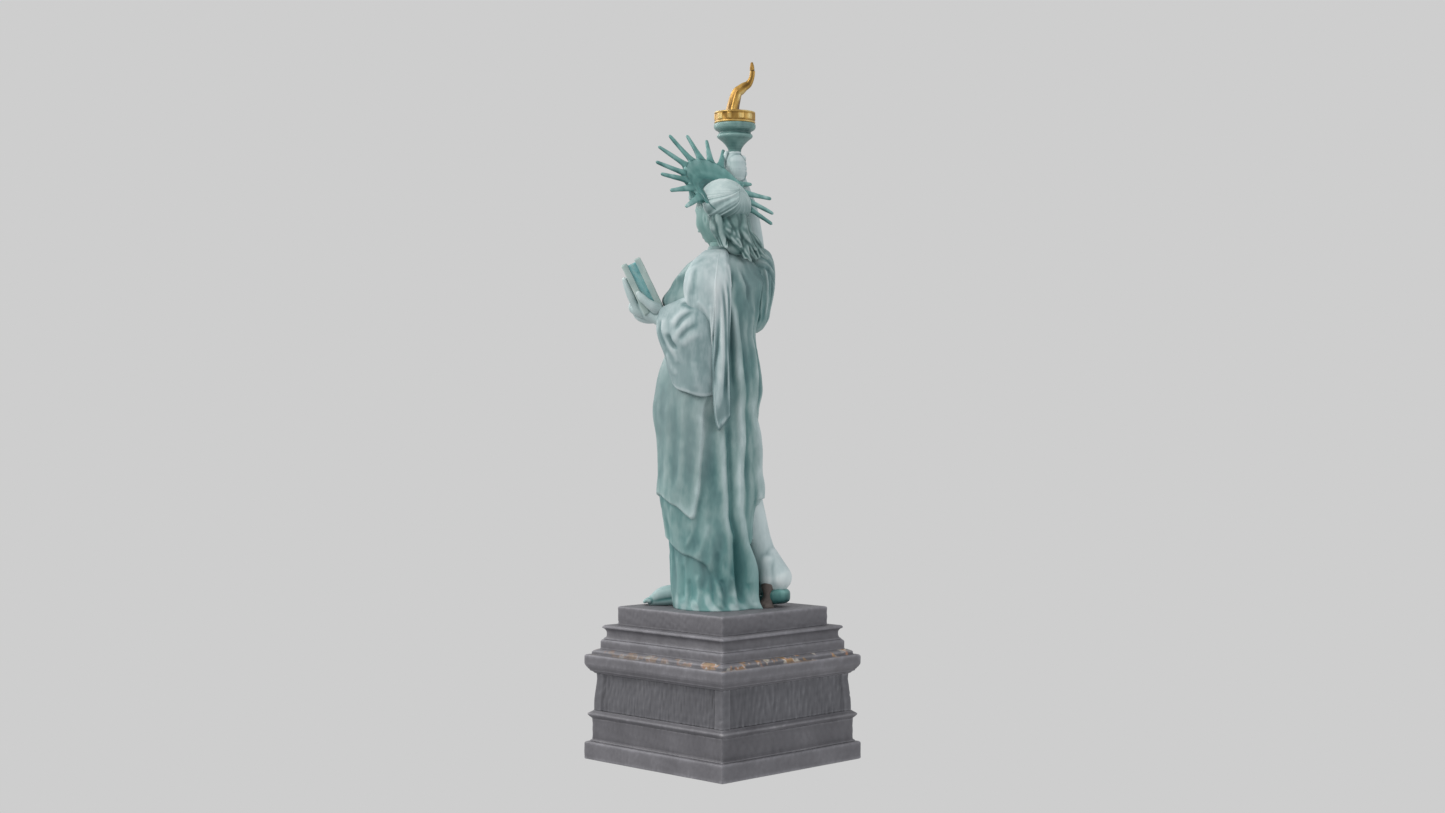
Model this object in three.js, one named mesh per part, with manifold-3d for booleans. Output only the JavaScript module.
// Souvenir figurine: a robed, crowned figure with a torch and a book-like tablet on a stepped pedestal.
// Millimetres, +Z up. Origin: centre of the underside. The figure faces -Y and its left hand is on +X.
// The pedestal is a stack of cast courses clamped by a threaded rod that screws into the figure.

import * as THREE from 'three';
import { mergeVertices } from 'three/addons/utils/BufferGeometryUtils.js';
import Module from 'manifold-3d';

const wasm = await Module();
wasm.setup();

// ---------------------------------------------------------------- driving dimensions

const CLEARANCE = 0.3; // glue gap between pieces that fit into each other

const SLAB_HALF = 42.5; // half of the base slab's side
const SLAB_BOTTOM = 0.6; // the felt pad stands out this far below the slab
const SLAB_TOP = 8.3;
const LOWER_DADO_TOP = 18.2;
const BEAD_TOP = 21.6;
const MAIN_DADO_TOP = 37.6;
const CORNICE_TOP = 48;
const STEP_TOP = 52.2;
const COVE_TOP = 58.4;
const PLINTH_TOP = 66.4; // the figure stands here
const PLINTH_HALF = 32;
const DADO_HALF = 40; // over the corner strips

const FELT_HALF = 39;
const FELT_THICKNESS = 1;
const ROD_RADIUS = 2.5; // M5 threaded rod
const ROD_BOTTOM = 1.7;
const ROD_TOP = 77;
const NUT_RECESS_RADIUS = 7;
const NUT_RECESS_TOP = 6.6;
const NUT_FLATS = 8;
const INSERT_RADIUS = 4.2;
const INSERT_TOP = 78;
const PIN_RADIUS = 1.5;
const PIN_PLACES = [[12, 4], [-4, -10]];

const HEAD_CENTRE = new THREE.Vector3(0, -1, 234.5);
const HEAD_RADII = new THREE.Vector3(10.2, 12.2, 15.6);
const HAIR_CENTRE = new THREE.Vector3(0, 2.2, 237.3);
const HAIR_RADII = new THREE.Vector3(11.7, 12.7, 14.2);
const NECK_RADIUS = 5.4;
const CROWN_CENTRE = new THREE.Vector3(0.5, -3.3, 248.4);
const CROWN_TILT = THREE.MathUtils.degToRad(51.3); // the crown leans back by this, front high
const CROWN_ROLL = THREE.MathUtils.degToRad(-3.5); // and dips a little towards the left ear
const CROWN_RIM_RADIUS = 15.7;
const CROWN_THICKNESS = 1.3;
const RAY_TIP_RADIUS = 30.1;
const RAY_GAP = 2.4; // from the rim radius to the root of a ray, past the band's own thickness
const RAY_BASE_THICKNESS = 1.35;
const RAY_TIP_THICKNESS = 0.45;
// Places of the rays round the rim in degrees from the figure's left, with the tip's share of full reach.
const RAYS = [
  [-26, 0.99], [-6, 0.97], [11.5, 0.98], [26, 1], [49.5, 1], [72.5, 1.03], [95.5, 1.02], [114.5, 1],
  [132.5, 1], [176, 0.78], [194.5, 1.02], [211.5, 1], [228.5, 1],
];

const TORCH_X = -19.7;
const TORCH_Y = -12;
const TORCH_CUP_BOTTOM = 265;
const TORCH_CUP_TOP = 277.6;
const GALLERY_RADIUS = 9.1;
const GALLERY_TOP = 282.6;
const FLAME_BOSS = 0.9; // the low boss the flame stands on
const FLAME_TOP = 305;

const TABLET_CENTRE = new THREE.Vector3(20.9, -27.9, 204.1);
const TABLET_LONG = 24;
const TABLET_WIDE = 18;
const TABLET_THICK = 9;
const TABLET_COVER = 2.7; // thickness of each cover
const TABLET_LIP = 1.1; // how far the covers stand out past the page block

// ---------------------------------------------------------------- helpers

function material(colour, roughness, metalness) {
  return new THREE.MeshStandardMaterial({ color: colour, roughness, metalness });
}

const finishes = {
  patina: () => material('#8fa9a7', 0.55, 0),
  paleCap: () => material('#b9cbca', 0.5, 0),
  teal: () => material('#5f8f8c', 0.5, 0),
  stone: () => material('#6a696d', 0.7, 0),
  darkStone: () => material('#58595b', 0.8, 0),
  gold: () => material('#b08a45', 0.35, 0.7),
  brass: () => material('#b59a55', 0.35, 1),
  steel: () => material('#9a9c9e', 0.4, 1),
  felt: () => material('#23302a', 0.95, 0),
};

const figurine = new THREE.Group();

function add(name, geometry, finish) {
  const mesh = new THREE.Mesh(geometry, finish());
  mesh.name = name;
  figurine.add(mesh);
  return mesh;
}

// A solid that can be joined and cut, from any closed three.js geometry.
function toSolid(geometry) {
  const bare = geometry.clone();
  bare.deleteAttribute('normal');
  bare.deleteAttribute('uv');
  const merged = mergeVertices(bare, 1e-4);
  return new wasm.Manifold(new wasm.Mesh({
    numProp: 3,
    vertProperties: new Float32Array(merged.attributes.position.array),
    triVerts: new Uint32Array(merged.index.array),
  }));
}

// The geometry of a solid's largest body; crumbs left by a cut are dropped.
function toGeometry(solid) {
  const bodies = solid.decompose();
  bodies.sort((a, b) => b.volume() - a.volume());
  const mesh = bodies[0].getMesh();
  const geometry = new THREE.BufferGeometry();
  geometry.setAttribute('position', new THREE.BufferAttribute(mesh.vertProperties, 3));
  geometry.setIndex(new THREE.BufferAttribute(mesh.triVerts, 1));
  geometry.computeVertexNormals();
  return geometry;
}

function box(lowX, lowY, lowZ, highX, highY, highZ) {
  const geometry = new THREE.BoxGeometry(highX - lowX, highY - lowY, highZ - lowZ);
  geometry.translate((lowX + highX) / 2, (lowY + highY) / 2, (lowZ + highZ) / 2);
  return geometry;
}

function rod(x, y, bottom, top, radius, sides = 20) {
  const geometry = new THREE.CylinderGeometry(radius, radius, top - bottom, sides);
  geometry.rotateX(Math.PI / 2);
  geometry.translate(x, y, (bottom + top) / 2);
  return geometry;
}

function ellipsoid(centre, radii, across = 22, up = 14) {
  const geometry = new THREE.SphereGeometry(1, across, up);
  geometry.rotateX(Math.PI / 2);
  geometry.scale(radii.x, radii.y, radii.z);
  geometry.translate(centre.x, centre.y, centre.z);
  return geometry;
}

// A square course: a four-sided lathe of [half side, height] points, from the axis to the axis.
function squareCourse(profile) {
  const points = profile.map(([half, z]) => new THREE.Vector2(half * Math.SQRT2, z));
  points.unshift(new THREE.Vector2(0, profile[0][1]));
  points.push(new THREE.Vector2(0, profile[profile.length - 1][1]));
  const geometry = new THREE.LatheGeometry(points, 4, Math.PI / 4);
  geometry.rotateX(Math.PI / 2);
  return geometry;
}

// A turned piece: a lathe of [radius, height] points round an upright axis.
function turned(x, y, profile, sides) {
  const points = profile.map(([radius, z]) => new THREE.Vector2(radius, z));
  const geometry = new THREE.LatheGeometry(points, sides);
  geometry.rotateX(Math.PI / 2);
  geometry.translate(x, y, 0);
  return geometry;
}

function interpolate(table, key) {
  let next = 1;
  while (next < table.length - 1 && table[next][0] < key) next += 1;
  const low = table[next - 1];
  const high = table[next];
  const share = THREE.MathUtils.clamp((key - low[0]) / (high[0] - low[0]), 0, 1);
  return low.map((value, index) => value + (high[index] - value) * share);
}

// A draped volume: a cylinder whose rings follow rows of [z, centre x, centre y, half length,
// half width, turn in degrees]. It can be grown outwards to cut a pocket for itself.
function draped(rings, sides, rows, grow = 0) {
  const geometry = new THREE.CylinderGeometry(1, 1, 1, sides, rows);
  geometry.rotateX(Math.PI / 2);
  const bottom = rings[0][0];
  const top = rings[rings.length - 1][0];
  const position = geometry.attributes.position;
  for (let index = 0; index < position.count; index += 1) {
    const share = position.getZ(index) + 0.5;
    const [, x, y, long, wide, turn] = interpolate(rings, bottom + (top - bottom) * share);
    const angle = THREE.MathUtils.degToRad(turn);
    const along = position.getX(index) * (long + grow);
    const across = position.getY(index) * (wide + grow);
    let endShift = 0;
    if (share < 0.001) endShift = -grow;
    if (share > 0.999) endShift = grow;
    position.setXYZ(
      index,
      x + along * Math.cos(angle) - across * Math.sin(angle),
      y + along * Math.sin(angle) + across * Math.cos(angle),
      bottom + (top - bottom) * share + endShift,
    );
  }
  return geometry;
}

// A limb: a cylinder bent along a smooth curve through the points, its radius following the radii.
function limb(points, radii, sides, rows, grow = 0) {
  const curve = new THREE.CatmullRomCurve3(points.map((p) => new THREE.Vector3(...p)));
  const frames = curve.computeFrenetFrames(rows);
  const table = radii.map((radius, index) => [index / (radii.length - 1), radius]);
  const geometry = new THREE.CylinderGeometry(1, 1, 1, sides, rows);
  geometry.rotateX(Math.PI / 2);
  const position = geometry.attributes.position;
  for (let index = 0; index < position.count; index += 1) {
    const share = position.getZ(index) + 0.5;
    const row = Math.round(share * rows);
    const radius = interpolate(table, share)[1] + grow;
    const place = curve.getPointAt(share);
    place.addScaledVector(frames.normals[row], position.getX(index) * radius);
    place.addScaledVector(frames.binormals[row], position.getY(index) * radius);
    place.addScaledVector(frames.tangents[row], (2 * share - 1) * grow);
    position.setXYZ(index, place.x, place.y, place.z);
  }
  return geometry;
}

const rodHole = toSolid(rod(0, 0, -1, INSERT_TOP + 2, ROD_RADIUS + CLEARANCE));

// ---------------------------------------------------------------- pedestal

function addPedestal() {
  const courses = [
    ['lower_dado', 'stone', [
      [40, SLAB_TOP], [39.8, SLAB_TOP + 0.8], [39.8, LOWER_DADO_TOP]]],
    ['bead_moulding', 'stone', [
      [39.9, LOWER_DADO_TOP], [41.3, 20], [39.7, BEAD_TOP]]],
    ['main_cornice', 'stone', [
      [39.2, MAIN_DADO_TOP], [39.8, 38.4], [40.7, 39.3], [41.3, 40.1], [41.9, 41], [42.4, 41.9],
      [42.4, 45.6], [40, 45.6], [40, 47.2], [38.1, CORNICE_TOP]]],
    ['step_course', 'stone', [
      [37.3, CORNICE_TOP], [37.3, 51.5], [36.6, STEP_TOP]]],
    ['cove_course', 'stone', [
      [36.4, STEP_TOP], [35.6, 53.5], [35.4, 55.7], [36.8, 57.2], [36.1, 58.2], [35, COVE_TOP]]],
  ];
  for (const [name, finish, profile] of courses) {
    add(name, toGeometry(toSolid(squareCourse(profile)).subtract(rodHole)), finishes[finish]);
  }
}

function addBaseSlab() {
  const slab = toSolid(squareCourse([
    [SLAB_HALF - 0.8, SLAB_BOTTOM], [SLAB_HALF, SLAB_BOTTOM + 0.8],
    [SLAB_HALF, SLAB_TOP - 0.9], [SLAB_HALF - 0.9, SLAB_TOP],
  ]));
  const feltRecess = FELT_HALF + CLEARANCE;
  const recess = toSolid(box(
    -feltRecess, -feltRecess, -1, feltRecess, feltRecess, FELT_THICKNESS + CLEARANCE));
  const nutRecess = toSolid(rod(0, 0, -1, NUT_RECESS_TOP, NUT_RECESS_RADIUS, 32));
  add('base_slab', toGeometry(slab.subtract(recess).subtract(nutRecess).subtract(rodHole)),
    finishes.stone);
  add('felt_pad', box(-FELT_HALF, -FELT_HALF, 0, FELT_HALF, FELT_HALF, FELT_THICKNESS), finishes.felt);
}

// The dado leans in slightly below the cornice and has a raised strip on each corner.
function addMainDado() {
  const field = toSolid(squareCourse([
    [38.9, BEAD_TOP], [38.9, 25], [38.3, 33], [38.1, 35], [38.3, MAIN_DADO_TOP]]));
  const strips = toSolid(squareCourse([
    [39.5, BEAD_TOP], [39.7, 25], [39, 33], [38.7, 35], [38.9, MAIN_DADO_TOP]]));
  const stripWidth = 3.9;
  const inner = DADO_HALF - stripWidth;
  const crossLong = toSolid(box(-50, -inner, BEAD_TOP - 1, 50, inner, MAIN_DADO_TOP + 1));
  const crossWide = toSolid(box(-inner, -50, BEAD_TOP - 1, inner, 50, MAIN_DADO_TOP + 1));
  const corners = strips.subtract(crossLong).subtract(crossWide);
  add('main_dado', toGeometry(field.add(corners).subtract(rodHole)), finishes.darkStone);
}

function pinHoles(grow) {
  const holes = PIN_PLACES.map(([x, y]) => toSolid(
    rod(x, y, PLINTH_TOP - 5 - grow, PLINTH_TOP + 5 + grow, PIN_RADIUS + grow, 16)));
  return holes[0].add(holes[1]);
}

function addTopPlinth() {
  const block = toSolid(squareCourse([
    [PLINTH_HALF, COVE_TOP], [PLINTH_HALF, PLINTH_TOP - 0.6], [PLINTH_HALF - 0.6, PLINTH_TOP]]));
  add('top_plinth', toGeometry(block.subtract(rodHole).subtract(pinHoles(CLEARANCE))), finishes.stone);
}

function addHardware() {
  add('tie_rod', rod(0, 0, ROD_BOTTOM, ROD_TOP, ROD_RADIUS, 16), finishes.steel);
  const nut = toSolid(rod(0, 0, 1.7, 5, NUT_FLATS / Math.sqrt(3), 6));
  const washer = toSolid(rod(0, 0, 5.3, 6.3, 5.5, 24));
  const insert = toSolid(rod(0, 0, PLINTH_TOP + CLEARANCE, INSERT_TOP, INSERT_RADIUS, 20));
  add('rod_nut', toGeometry(nut.subtract(rodHole)), finishes.steel);
  add('rod_washer', toGeometry(washer.subtract(rodHole)), finishes.steel);
  add('figure_insert', toGeometry(insert.subtract(rodHole)), finishes.brass);
  PIN_PLACES.forEach(([x, y], index) => {
    add(`locating_pin_${index + 1}`, rod(x, y, PLINTH_TOP - 5, PLINTH_TOP + 5, PIN_RADIUS, 12),
      finishes.steel);
  });
}

// ---------------------------------------------------------------- figure: robes and legs

// The skirt's long axis runs along the stride: from the right leg behind to the left leg in front.
const GOWN_RINGS = [
  [PLINTH_TOP, 6, -0.4, 18.5, 20, -45],
  [73, 5.4, -1.6, 17.7, 17.5, -45],
  [90, 5.4, -2.5, 17.5, 16.5, -45],
  [104, 5.8, -3.7, 19, 16.8, -45],
  [112, 5.6, -4, 20, 17.2, -45],
  [114, 4, -3.3, 22.9, 17.6, -45],
  [125, 4.5, -4, 21.4, 17.4, -45],
  [138, 4.6, -4, 21.8, 17.4, -45],
  [151, 5.2, -4.8, 22.5, 17.2, -45],
  [159, 4.5, -4.2, 23, 17, -45],
  [170, 3.6, -3.8, 20.6, 16.2, -45],
  [181, 2.6, -2.6, 17.4, 15, -45],
  [190, 2.4, -2.6, 17.2, 15, -45],
  [198, 2.8, -3.2, 18.6, 15.6, -45],
  [206, 0.8, -0.6, 18.4, 14.6, -45],
  [212, 0, 0, 18, 10.4, 0],
  [216, 0, 0.4, 13.5, 8.5, 0],
  [219, 0, 0, 8.6, 7.4, 0],
  [221, 0, 0, 6.6, 6.4, 0],
];

// The mantle hangs over the left shoulder and down the back.
const MANTLE_RINGS = [
  [140, 1.5, 5, 8, 13, 0],
  [157, 5, 2, 18, 18, 0],
  [170, 5, 2.2, 19.4, 17, 0],
  [181, 5, 2.6, 19.6, 15.4, 0],
  [190, 5, 2.6, 20.4, 14.6, 0],
  [198, 4.6, 2.4, 21, 14.8, 0],
  [206, 4, 2.4, 21.6, 14.4, 0],
  [212, 3, 2, 20.6, 12.8, 0],
  [216.5, 2, 1.6, 15.4, 10.8, 0],
  [219.5, 1.5, 1, 10.6, 9, 0],
];

// The left sleeve hangs from the forearm.
const LEFT_SLEEVE_RINGS = [
  [157.5, 20, 2.5, 6, 13.5, 0],
  [165, 20.5, 1, 6.4, 13, 0],
  [175, 20.5, -1.5, 6.8, 12, 0],
  [184, 20.4, -3.6, 6.6, 11.2, 0],
  [190, 20.8, -1.6, 6.2, 9.2, 0],
  [196, 21, 0.6, 5.6, 7.6, 0],
  [205, 20.4, 0.8, 5.2, 7, 0],
];

const RIGHT_SLEEVE_RINGS = [
  [184.5, -13, 1.5, 5.4, 7, 0],
  [190, -14.5, 2, 7.8, 8.8, 0],
  [195, -15.5, 2, 8.4, 9.2, 0],
  [203, -17, 2.4, 8.8, 9.2, 0],
  [212, -18, 2, 8.8, 8.8, 0],
  [217, -18.5, 1, 8.4, 8.2, 0],
  [221, -19, -0.4, 7.2, 7, 0],
];

const RIGHT_LEG_PATH = [[-9.5, 8.5, 117], [-10.6, 10.4, 100], [-13, 13, 86], [-14.6, 15.2, 76]];
const RIGHT_LEG_RADII = [4.6, 5.2, 5.4, 6];
const RIGHT_FOOT_PATH = [[-14.6, 18.4, 75.5], [-16.4, 10, 74.5], [-18.4, 0, 70.5], [-19.6, -5, 69.2]];
const RIGHT_FOOT_RADII = [5.4, 6, 5, 2.6];
const LEFT_FOOT_PATH = [[10, -10, 73], [14.4, -18, 72], [18, -25, 69.5], [20.4, -29.6, 68.6]];
const LEFT_FOOT_RADII = [6.4, 6.2, 5, 2.4];
const HEEL_PROP_PATH = [[-7.4, 17.4, 60], [-8.8, 17.8, 70], [-11, 17.8, 80]];
const HEEL_PROP_RADII = [3.6, 2.4, 2.6];

const RIGHT_ARM_PATH = [
  [-19.2, -0.5, 211], [-21.4, -3.4, 224], [-23.6, -7.8, 238], [-21.4, -10.6, 249], [-19.7, -12, 258]];
const RIGHT_ARM_RADII = [5.6, 5.5, 4.9, 4.5, 4];
const LEFT_FOREARM_PATH = [[19.4, 3, 183.5], [20, -9, 186], [20, -20.6, 190], [20.6, -23.4, 190]];
const LEFT_FOREARM_RADII = [4.8, 4.7, 3.9, 4];

const groundCut = toSolid(box(-60, -60, 0, 60, 60, PLINTH_TOP + 0.05));

function legSolid(grow) {
  const leg = toSolid(limb(RIGHT_LEG_PATH, RIGHT_LEG_RADII, 14, 8, grow));
  const foot = toSolid(limb(RIGHT_FOOT_PATH, RIGHT_FOOT_RADII, 14, 8, grow));
  return leg.add(foot);
}

function gownSolid(grow) {
  return toSolid(draped(GOWN_RINGS, 36, 30, grow));
}

function rightArmSolid(grow) {
  return toSolid(limb(RIGHT_ARM_PATH, RIGHT_ARM_RADII, 14, 10, grow));
}

function leftForearmSolid(grow) {
  return toSolid(limb(LEFT_FOREARM_PATH, LEFT_FOREARM_RADII, 14, 8, grow));
}

function dowelSolid(points, radius, grow) {
  return toSolid(limb(points, [radius, radius], 12, 1, grow));
}

const NECK_DOWEL = [[0, 0, 212], [0, -0.4, 228]];
const ARM_DOWEL = [[-13, 0, 208], [-20.5, -2.2, 219]];
const FOREARM_DOWEL = [[17.6, 1.5, 189], [19.8, -5, 184.8]];
const TORCH_DOWEL = [[TORCH_X, TORCH_Y, 254], [TORCH_X, TORCH_Y, 270]];
const DOWEL_RADIUS = 1.2;

function addRobes() {
  const neckHole = dowelSolid(NECK_DOWEL, DOWEL_RADIUS, CLEARANCE);
  const armHole = dowelSolid(ARM_DOWEL, DOWEL_RADIUS, CLEARANCE);
  const forearmHole = dowelSolid(FOREARM_DOWEL, DOWEL_RADIUS, CLEARANCE);
  const insertHole = toSolid(rod(
    0, 0, PLINTH_TOP - 1, INSERT_TOP + CLEARANCE, INSERT_RADIUS + CLEARANCE));
  const gown = gownSolid(0)
    .subtract(legSolid(CLEARANCE))
    .subtract(rightArmSolid(CLEARANCE))
    .subtract(leftForearmSolid(CLEARANCE))
    .subtract(insertHole)
    .subtract(pinHoles(CLEARANCE))
    .subtract(neckHole)
    .subtract(armHole)
    .subtract(forearmHole);
  add('gown', toGeometry(gown), finishes.patina);

  const mantleRegion = toSolid(box(-9, -30, 100, 60, 60, 230).rotateZ(THREE.MathUtils.degToRad(20)));
  const back = toSolid(draped(MANTLE_RINGS, 32, 16)).intersect(mantleRegion);
  const sleeve = toSolid(draped(LEFT_SLEEVE_RINGS, 20, 8));
  const mantle = back.add(sleeve)
    .subtract(gownSolid(2 * CLEARANCE))
    .subtract(leftForearmSolid(CLEARANCE))
    .subtract(forearmHole);
  add('mantle', toGeometry(mantle), finishes.patina);

  const rightSleeve = toSolid(draped(RIGHT_SLEEVE_RINGS, 20, 8))
    .subtract(gownSolid(2 * CLEARANCE))
    .subtract(rightArmSolid(CLEARANCE))
    .subtract(toSolid(draped(MANTLE_RINGS, 32, 16, CLEARANCE)).intersect(mantleRegion))
    .subtract(armHole);
  add('right_sleeve', toGeometry(rightSleeve), finishes.patina);
}

function addLegs() {
  const prop = toSolid(limb(HEEL_PROP_PATH, HEEL_PROP_RADII, 12, 8));
  const leg = legSolid(0).subtract(groundCut);
  add('right_leg', toGeometry(leg), finishes.patina);
  add('heel_prop', toGeometry(prop.subtract(legSolid(CLEARANCE)).subtract(gownSolid(2 * CLEARANCE))
    .subtract(groundCut)), finishes.darkStone);
  const foot = toSolid(limb(LEFT_FOOT_PATH, LEFT_FOOT_RADII, 16, 10));
  add('left_foot', toGeometry(foot.subtract(groundCut).subtract(gownSolid(2 * CLEARANCE))),
    finishes.patina);
}

// ---------------------------------------------------------------- figure: arms, tablet and torch

// The tablet's own axes: its long edge up and outwards, its thickness towards the chest.
const tabletUp = new THREE.Vector3(0.304, -0.304, 0.903).normalize();
const tabletAcross = new THREE.Vector3(Math.SQRT1_2, Math.SQRT1_2, 0);
const tabletInwards = new THREE.Vector3().crossVectors(tabletUp, tabletAcross);

function tabletPoint(up, across, inwards) {
  return TABLET_CENTRE.clone()
    .addScaledVector(tabletUp, up)
    .addScaledVector(tabletAcross, across)
    .addScaledVector(tabletInwards, inwards);
}

function tabletBox(long, wide, thick, offset) {
  const geometry = new THREE.BoxGeometry(long, wide, thick);
  geometry.translate(0, 0, offset);
  geometry.applyMatrix4(new THREE.Matrix4().makeBasis(tabletUp, tabletAcross, tabletInwards));
  geometry.translate(TABLET_CENTRE.x, TABLET_CENTRE.y, TABLET_CENTRE.z);
  return toSolid(geometry);
}

// The hand carries the tablet on its palm, four fingers up the outer cover and the thumb on the edge.
function handSolid() {
  const fingerOut = -TABLET_THICK / 2 - CLEARANCE - 1.7;
  const digits = [-5.7, -1.9, 1.9, 5.7].map((across, index) => [
    tabletPoint(-15.5, across * 0.75, fingerOut + 3.4),
    tabletPoint(-12, across * 0.85, fingerOut),
    tabletPoint(-2, across, fingerOut),
    tabletPoint(index === 0 ? 3 : 5.4, across, fingerOut + 0.1),
  ]);
  const thumbOut = TABLET_WIDE / 2 + CLEARANCE + 1.8;
  digits.push([
    tabletPoint(-16, thumbOut - 3.6, -1), tabletPoint(-11, thumbOut - 1, -0.5),
    tabletPoint(-6, thumbOut, 0), tabletPoint(-1.6, thumbOut, 0.4),
  ]);
  const palm = toSolid(limb(
    [[20, -21, 190], [21.4, -25, 188.6], [22.6, -27.6, 190]], [4, 5.4, 4.2], 14, 6));
  return digits.reduce((hand, points) => {
    const finger = limb(points.map((p) => p.toArray()), [2, 2, 1.8, 1.1], 8, 6);
    return hand.add(toSolid(finger));
  }, palm);
}

function addLeftArm() {
  const pages = tabletBox(
    TABLET_LONG - 2 * TABLET_LIP, TABLET_WIDE - 2 * TABLET_LIP, TABLET_THICK - 1, 0);
  const coverOffset = (TABLET_THICK - TABLET_COVER) / 2;
  const tablet = pages
    .add(tabletBox(TABLET_LONG, TABLET_WIDE, TABLET_COVER, coverOffset))
    .add(tabletBox(TABLET_LONG, TABLET_WIDE, TABLET_COVER, -coverOffset));
  add('tablet', toGeometry(tablet), finishes.teal);
  const tabletPocket = tabletBox(
    TABLET_LONG + 2 * CLEARANCE, TABLET_WIDE + 2 * CLEARANCE, TABLET_THICK + 2 * CLEARANCE, 0);
  const dowelHole = dowelSolid(FOREARM_DOWEL, DOWEL_RADIUS, CLEARANCE);
  const arm = leftForearmSolid(0).add(handSolid()).subtract(tabletPocket).subtract(dowelHole);
  add('left_forearm', toGeometry(arm), finishes.patina);
}

function addRightArm() {
  const fist = toSolid(ellipsoid(
    new THREE.Vector3(TORCH_X, TORCH_Y, 259.6), new THREE.Vector3(5, 4.8, 6), 20, 14));
  const arm = rightArmSolid(0).add(fist)
    .subtract(dowelSolid(TORCH_DOWEL, DOWEL_RADIUS, CLEARANCE))
    .subtract(dowelSolid(ARM_DOWEL, DOWEL_RADIUS, CLEARANCE));
  const flatTop = toSolid(box(-60, -60, TORCH_CUP_BOTTOM - CLEARANCE, 60, 60, 300));
  add('right_arm', toGeometry(arm.subtract(flatTop)), finishes.patina);
}

function addTorch() {
  const cup = toSolid(turned(TORCH_X, TORCH_Y, [
    [0, TORCH_CUP_BOTTOM], [2.7, TORCH_CUP_BOTTOM], [3, 266.4], [6.2, 270.2], [7.8, 271.3],
    [7.95, 272], [7, 273.4], [7.1, 273.9], [8.8, 275.2], [9.25, 276], [9.25, 277],
    [9, TORCH_CUP_TOP], [0, TORCH_CUP_TOP],
  ], 28));
  const dowelHole = dowelSolid(TORCH_DOWEL, DOWEL_RADIUS, CLEARANCE);
  add('torch_cup', toGeometry(cup.subtract(dowelHole)), finishes.teal);
  const bandBottom = TORCH_CUP_TOP;
  add('torch_gallery', turned(TORCH_X, TORCH_Y, [
    [0, bandBottom], [GALLERY_RADIUS, bandBottom], [GALLERY_RADIUS - 0.1, GALLERY_TOP],
    [GALLERY_RADIUS - 0.5, GALLERY_TOP + 0.2], [4, GALLERY_TOP + 0.2], [3.4, GALLERY_TOP + FLAME_BOSS],
    [0, GALLERY_TOP + FLAME_BOSS],
  ], 32), finishes.gold);
  // The flame rises straight, then leans out and up in one slender double bend: rows of height,
  // lean towards the rear left, radius.
  const bend = [
    [GALLERY_TOP, -0.7, 2.8], [286.5, -0.4, 2.6], [288.7, 0.2, 2.5], [291.3, 1.2, 2.3],
    [293.8, 4.1, 1.9], [296.3, 6.7, 1.4], [299.5, 7.6, 1.15], [302.5, 7.7, 0.95], [FLAME_TOP, 7.6, 0.6],
  ];
  const flame = limb(
    bend.map(([z, lean]) => [TORCH_X - lean * Math.SQRT1_2, TORCH_Y + lean * Math.SQRT1_2, z]),
    bend.map((row) => row[2]), 12, 18);
  const seatTop = GALLERY_TOP + FLAME_BOSS + CLEARANCE;
  const seat = toSolid(rod(TORCH_X, TORCH_Y, GALLERY_TOP - 4, seatTop, GALLERY_RADIUS));
  add('torch_flame', toGeometry(toSolid(flame).subtract(seat)), finishes.gold);
}

// ---------------------------------------------------------------- figure: head, hair and crown

function headSolid(grow) {
  const radii = HEAD_RADII.clone().addScalar(grow);
  return toSolid(ellipsoid(HEAD_CENTRE, radii));
}

function hairSolid(grow) {
  const radii = HAIR_RADII.clone().addScalar(grow);
  const whole = toSolid(ellipsoid(HAIR_CENTRE, radii));
  const faceOpening = box(-30, -40, -40, 30, 0, 40);
  faceOpening.rotateX(THREE.MathUtils.degToRad(20));
  faceOpening.translate(0, -2.6 - grow, 238);
  return whole.subtract(toSolid(faceOpening));
}

// The locks fall from the nape; the fall is widened across the shoulders.
const LOCKS_PATH = [[-0.5, 9.5, 234], [-1.6, 12.4, 227], [-3, 12.6, 219], [-4.6, 13, 212.5]];
const LOCKS_RADII = [5, 5.6, 4.6, 1.8];
const LOCKS_WIDENING = 1.45;
const LOCKS_SHIFT = 2.4;

function locksSolid(grow) {
  const fall = limb(LOCKS_PATH, LOCKS_RADII, 14, 8, grow);
  fall.translate(LOCKS_SHIFT, 0, 0);
  fall.scale(LOCKS_WIDENING, 1, 1);
  return toSolid(fall);
}

function addHead() {
  const neck = toSolid(rod(0, -0.2, 221.3, 228, NECK_RADIUS, 24));
  const nose = toSolid(ellipsoid(
    new THREE.Vector3(0, HEAD_CENTRE.y - HEAD_RADII.y + 0.2, HEAD_CENTRE.z - 1.4),
    new THREE.Vector3(1.3, 1.6, 2.8), 12, 8));
  const dowelHole = dowelSolid(NECK_DOWEL, DOWEL_RADIUS, CLEARANCE);
  const head = headSolid(0).add(neck).add(nose).subtract(dowelHole)
    .subtract(gownSolid(2 * CLEARANCE));
  add('head', toGeometry(head), finishes.patina);
  const hair = hairSolid(0).subtract(headSolid(CLEARANCE));
  const locks = locksSolid(0)
    .subtract(headSolid(CLEARANCE))
    .subtract(hairSolid(CLEARANCE))
    .subtract(toSolid(rod(0, -0.2, 218, 228, NECK_RADIUS + CLEARANCE, 24)))
    .subtract(gownSolid(2 * CLEARANCE))
    .subtract(toSolid(draped(MANTLE_RINGS, 32, 16, CLEARANCE)))
    .subtract(toSolid(draped(RIGHT_SLEEVE_RINGS, 20, 8, CLEARANCE)));
  add('hair', toGeometry(hair), finishes.paleCap);
  add('hair_locks', toGeometry(locks), finishes.teal);
}

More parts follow.
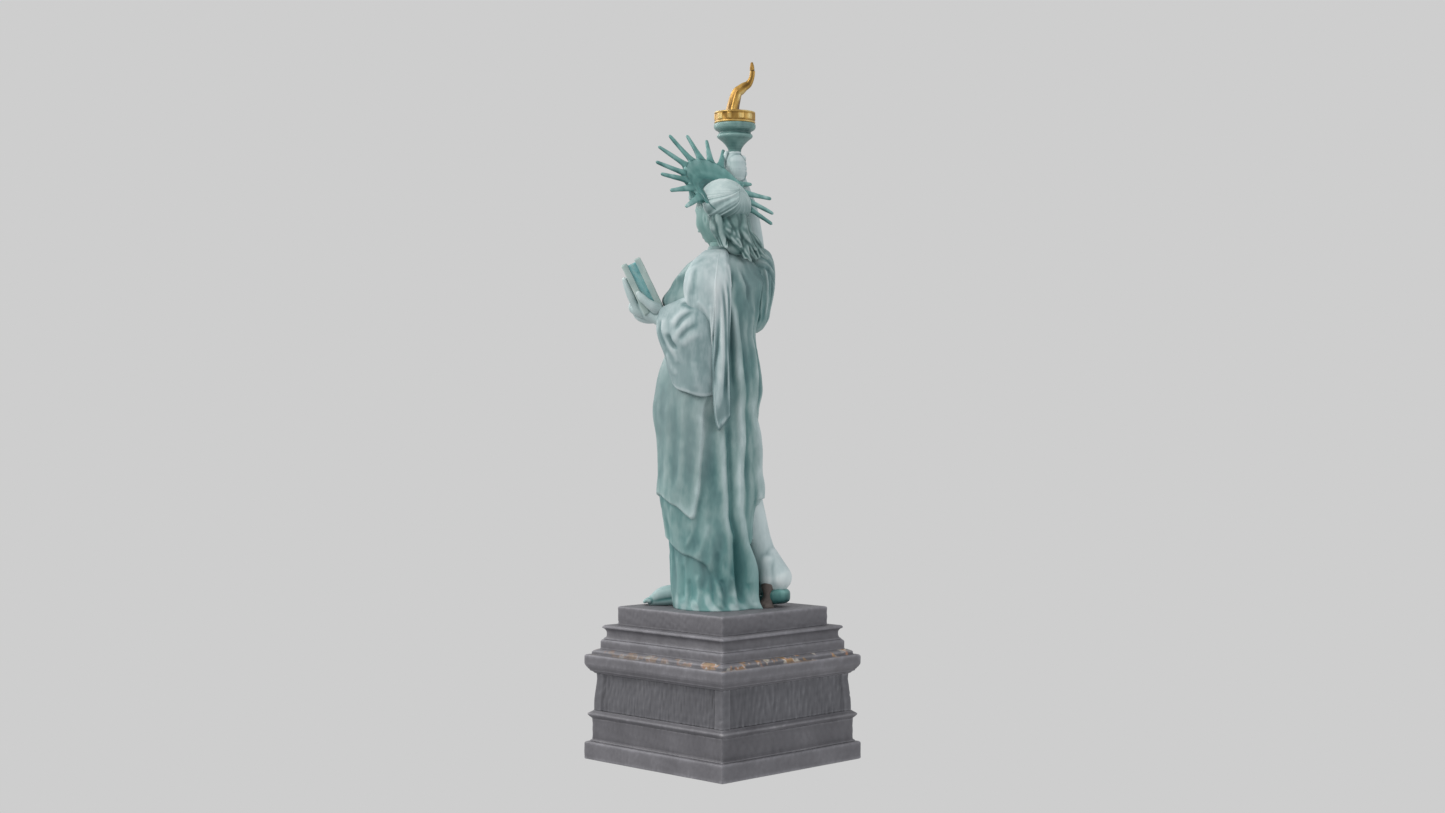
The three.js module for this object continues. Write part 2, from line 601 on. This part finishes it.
// The rim's own axes: towards the left ear, and forwards and up over the brow.
const crownLeft = new THREE.Vector3(Math.cos(CROWN_ROLL), 0, Math.sin(CROWN_ROLL));
const crownFront = new THREE.Vector3(0, -Math.cos(CROWN_TILT), Math.sin(CROWN_TILT));
crownFront.addScaledVector(crownLeft, -crownFront.dot(crownLeft)).normalize();

function rimPoint(angle, radius) {
  return CROWN_CENTRE.clone()
    .addScaledVector(crownLeft, radius * Math.cos(angle))
    .addScaledVector(crownFront, radius * Math.sin(angle));
}

// The band flares from a low circlet on the brow to the tilted rim that carries the rays.
function addCrownBand() {
  const ring = new THREE.LatheGeometry([
    new THREE.Vector2(1, 0), new THREE.Vector2(2, 0), new THREE.Vector2(2, 1),
    new THREE.Vector2(2, 2), new THREE.Vector2(1, 2), new THREE.Vector2(1, 1), new THREE.Vector2(1, 0),
  ], 48);
  ring.rotateX(Math.PI / 2);
  const position = ring.attributes.position;
  for (let index = 0; index < position.count; index += 1) {
    const x = position.getX(index);
    const y = position.getY(index);
    const angle = Math.atan2(-y, x);
    const outer = Math.hypot(x, y) - 1;
    const up = position.getZ(index) / 2;
    const brow = new THREE.Vector3(
      11.6 * Math.cos(angle), -1.4 - 12.6 * Math.sin(angle), 239.8 + 2.6 * Math.sin(angle));
    const rim = rimPoint(angle, CROWN_RIM_RADIUS - CROWN_THICKNESS);
    const place = brow.lerp(rim, up);
    const outward = new THREE.Vector3(Math.cos(angle), -Math.sin(angle), -0.15);
    place.addScaledVector(outward, outer * CROWN_THICKNESS);
    position.setXYZ(index, place.x, place.y, place.z);
  }
  const band = toSolid(ring)
    .subtract(headSolid(CLEARANCE))
    .subtract(hairSolid(CLEARANCE))
    .subtract(locksSolid(CLEARANCE))
    .subtract(rightArmSolid(CLEARANCE));
  add('crown_band', toGeometry(band), finishes.teal);
}

// Each ray is a tapered spike that starts just clear of the rim; the rear ones come out of the hair.
function addCrownRays() {
  const hairPocket = hairSolid(CLEARANCE).add(locksSolid(CLEARANCE));
  RAYS.forEach(([degrees, share], index) => {
    const angle = THREE.MathUtils.degToRad(degrees);
    const start = CROWN_RIM_RADIUS + RAY_GAP;
    const length = RAY_TIP_RADIUS * share - start;
    const spike = new THREE.CylinderGeometry(RAY_TIP_THICKNESS, RAY_BASE_THICKNESS, length, 8);
    const outward = rimPoint(angle, 1).sub(CROWN_CENTRE);
    const turn = new THREE.Quaternion().setFromUnitVectors(new THREE.Vector3(0, 1, 0), outward);
    spike.applyQuaternion(turn);
    spike.translate(...rimPoint(angle, start + length / 2).toArray());
    const name = `crown_ray_${String(index + 1).padStart(2, '0')}`;
    add(name, toGeometry(toSolid(spike).subtract(hairPocket)), finishes.teal);
  });
}

function addDowels() {
  const dowels = [
    ['neck_dowel', NECK_DOWEL], ['arm_dowel', ARM_DOWEL],
    ['forearm_dowel', FOREARM_DOWEL], ['torch_dowel', TORCH_DOWEL],
  ];
  for (const [name, points] of dowels) {
    add(name, limb(points, [DOWEL_RADIUS, DOWEL_RADIUS], 12, 1), finishes.steel);
  }
}

addBaseSlab();
addPedestal();
addMainDado();
addTopPlinth();
addHardware();
addRobes();
addLegs();
addLeftArm();
addRightArm();
addTorch();
addHead();
addCrownBand();
addCrownRays();
addDowels();

export default figurine;
